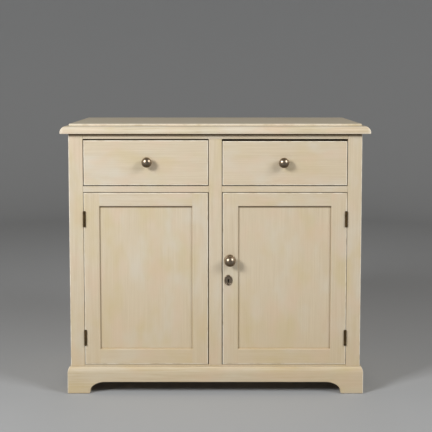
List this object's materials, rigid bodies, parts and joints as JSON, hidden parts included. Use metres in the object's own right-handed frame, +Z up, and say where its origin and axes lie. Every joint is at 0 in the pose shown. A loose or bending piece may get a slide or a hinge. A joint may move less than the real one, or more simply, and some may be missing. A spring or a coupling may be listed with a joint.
{
  "type": "cupboard",
  "caption": "Low painted pine cupboard with drawers over panelled doors, a moulded top and a bracket-foot plinth, for storing crockery, jars and linen.",
  "frame": {"origin": "middle of the cupboard's box, on the floor", "axes": "+X to the right as seen from the front, +Y to the back, +Z up; the doors and drawers face -Y"},
  "size_m": [1.015, 0.504, 0.9],
  "materials": {
    "cream_paint": "aged cream eggshell paint",
    "bare_pine": "bare aged pine",
    "pewter_metal": "antique pewter, polished by use",
    "dark_iron": "dark browned iron"
  },
  "bodies": {
    "carcase": {"top_board": "cream_paint", "left_side": "cream_paint", "right_side": "cream_paint", "left_stile": "cream_paint", "right_stile": "cream_paint", "centre_stile": "cream_paint", "top_rail": "cream_paint", "bottom_rail": "cream_paint", "left_drawer_rail": "cream_paint", "right_drawer_rail": "cream_paint", "plinth_front": "cream_paint", "plinth_left": "cream_paint", "plinth_right": "cream_paint", "floor_board": "bare_pine", "back_boards": "bare_pine", "shelf": "bare_pine", "shelf_cleats": "bare_pine", "drawer_runners": "bare_pine", "drawer_guides": "bare_pine", "drawer_kickers": "bare_pine", "stop_blocks": "bare_pine", "plinth_back": "bare_pine", "plinth_corner_blocks": "bare_pine", "hinge_frame_leaves": "dark_iron", "hinge_pins": "dark_iron", "hinge_frame_screws": "dark_iron"},
    "left_drawer": {"left_drawer_front": "cream_paint", "left_drawer_inner_side": "bare_pine", "left_drawer_outer_side": "bare_pine", "left_drawer_back": "bare_pine", "left_drawer_bottom": "bare_pine", "left_drawer_knob": "pewter_metal"},
    "right_drawer": {"right_drawer_front": "cream_paint", "right_drawer_inner_side": "bare_pine", "right_drawer_outer_side": "bare_pine", "right_drawer_back": "bare_pine", "right_drawer_bottom": "bare_pine", "right_drawer_knob": "pewter_metal"},
    "left_door": {"left_door_outer_stile": "cream_paint", "left_door_inner_stile": "cream_paint", "left_door_top_rail": "cream_paint", "left_door_bottom_rail": "cream_paint", "left_door_panel": "cream_paint", "left_door_hinge_leaves": "dark_iron", "left_door_screws": "dark_iron"},
    "right_door": {"right_door_outer_stile": "cream_paint", "right_door_inner_stile": "cream_paint", "right_door_top_rail": "cream_paint", "right_door_bottom_rail": "cream_paint", "right_door_panel": "cream_paint", "right_door_hinge_leaves": "dark_iron", "right_door_screws": "dark_iron", "latch_rose": "pewter_metal", "escutcheon": "pewter_metal", "lock_case": "dark_iron", "lock_spring": "dark_iron"},
    "latch": {"latch_knob": "pewter_metal", "latch_tongue": "dark_iron"},
    "lock_bolt": {"lock_bolt": "dark_iron"},
    "turn_button": {"turn_button": "bare_pine"}
  },
  "joints": [
    {"name": "left_drawer_slide", "type": "slide", "parent": "carcase", "child": "left_drawer", "axis": [0, -1, 0], "range_m": [0, 0.33]},
    {"name": "right_drawer_slide", "type": "slide", "parent": "carcase", "child": "right_drawer", "axis": [0, -1, 0], "range_m": [0, 0.33]},
    {"name": "left_door_hinge", "type": "hinge", "parent": "carcase", "child": "left_door", "pos_m": [-0.4319, -0.219, 0.5857], "axis": [0, 0, -1], "range_deg": [0, 170]},
    {"name": "right_door_hinge", "type": "hinge", "parent": "carcase", "child": "right_door", "pos_m": [0.4319, -0.219, 0.5857], "axis": [0, 0, 1], "range_deg": [0, 170]},
    {"name": "latch_turn", "type": "hinge", "parent": "right_door", "child": "latch", "pos_m": [0.0483, -0.218, 0.449], "axis": [0, -1, 0], "range_deg": [0, 90]},
    {"name": "lock_bolt_slide", "type": "slide", "parent": "right_door", "child": "lock_bolt", "axis": [-1, 0, 0], "range_m": [0, 0.009]},
    {"name": "turn_button_turn", "type": "hinge", "parent": "left_door", "child": "turn_button", "pos_m": [-0.0443, -0.196, 0.425], "axis": [0, -1, 0], "range_deg": [0, 90]}
  ]
}
